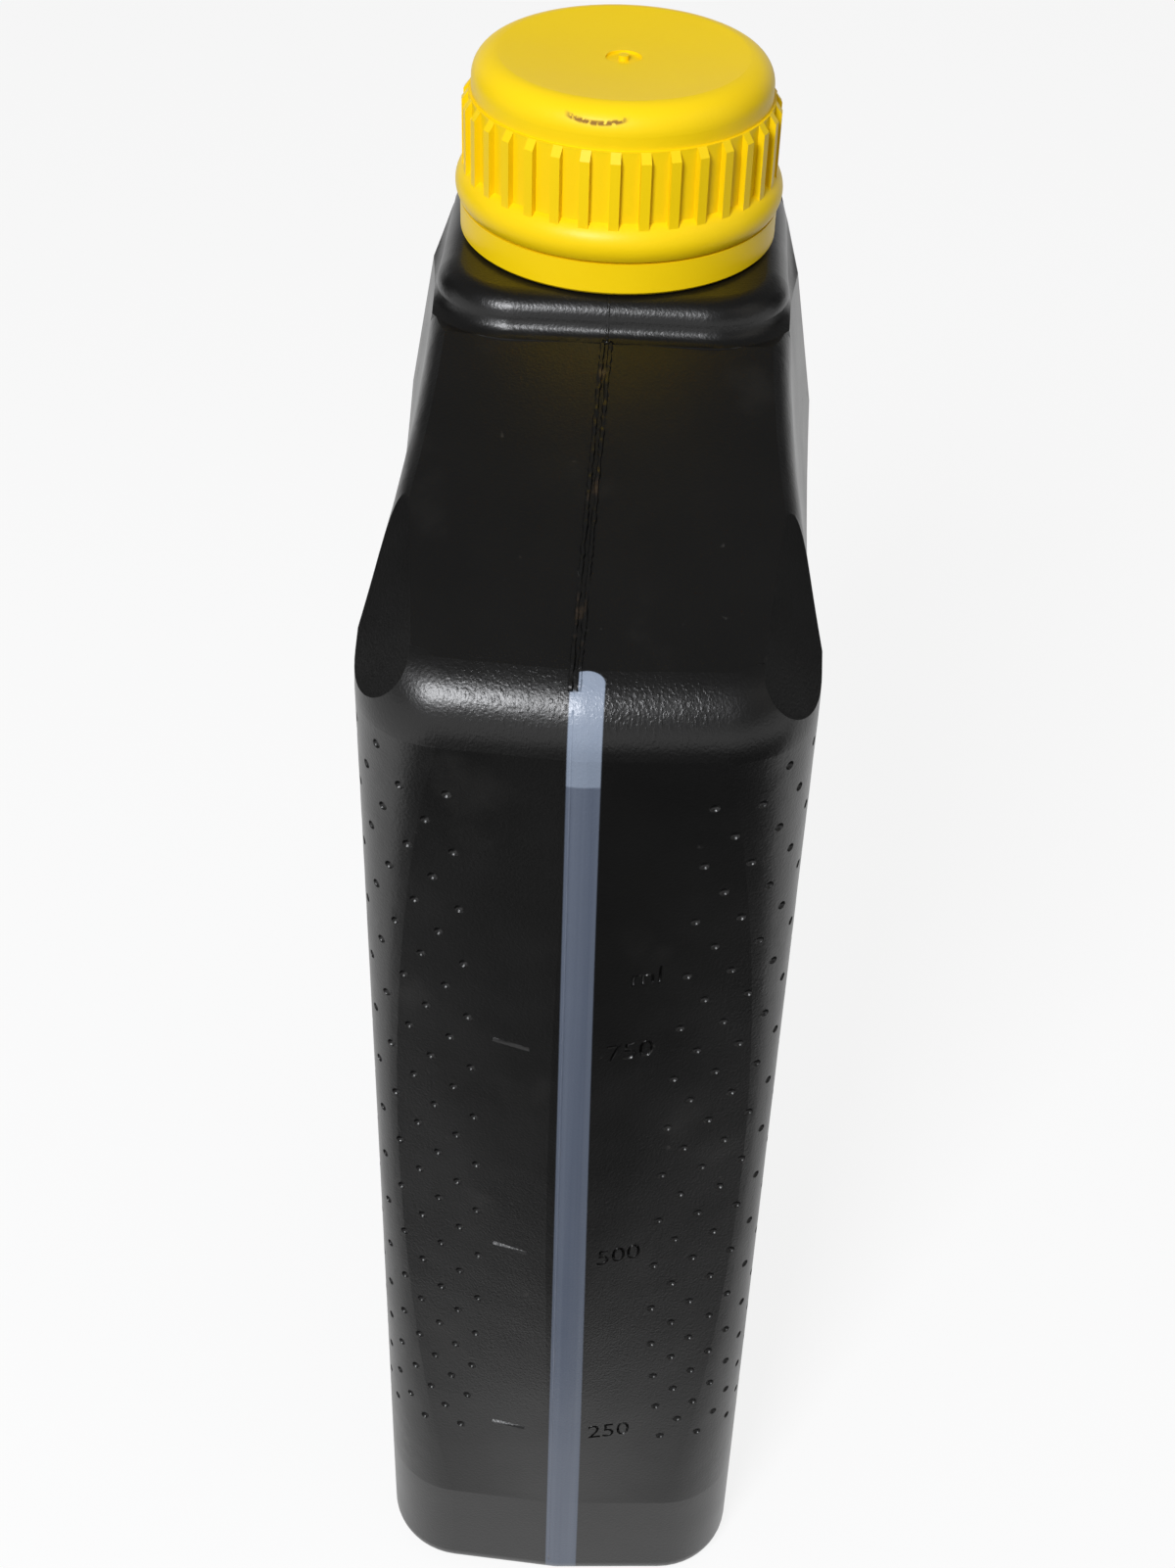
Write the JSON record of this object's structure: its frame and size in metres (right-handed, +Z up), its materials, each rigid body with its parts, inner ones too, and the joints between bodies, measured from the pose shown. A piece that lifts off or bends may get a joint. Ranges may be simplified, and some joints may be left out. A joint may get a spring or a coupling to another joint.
{
  "type": "motor oil bottle",
  "caption": "Flat one-litre motor oil bottle in black plastic with a keeled, waisted narrow side, pale level stripe, set-back neck and ribbed yellow screw cap.",
  "frame": {"origin": "centre of the footprint on the plane the bottle stands on", "axes": "+Z up along the neck, +X to the narrow side with the level stripe, +Y to a broad label face"},
  "size_m": [0.1164, 0.057, 0.2334],
  "materials": {
    "bottle_black": "satin, slightly scuffed",
    "oil_amber": "clear amber liquid",
    "cap_yellow": "satin moulded",
    "liner_white": "foam"
  },
  "bodies": {
    "bottle_body": {"bottle": "bottle_black", "tamper_band": "cap_yellow", "oil": "oil_amber"},
    "liner_body": {"cap_liner": "liner_white"},
    "cap_body": {"cap": "cap_yellow"}
  },
  "joints": [
    {"name": "cap_lift", "type": "slide", "parent": "bottle_body", "child": "liner_body", "axis": [0, 0, 1], "range_m": [0, 0.0301]},
    {"name": "cap_turn", "type": "hinge", "parent": "liner_body", "child": "cap_body", "pos_m": [-0.0208, 0, 0.22], "axis": [0, 0, 1], "range_deg": [0, 2700]}
  ],
  "couplings": [
    {"joint": "cap_lift", "follows": "cap_turn", "m_per_rad": 0.00063662}
  ]
}
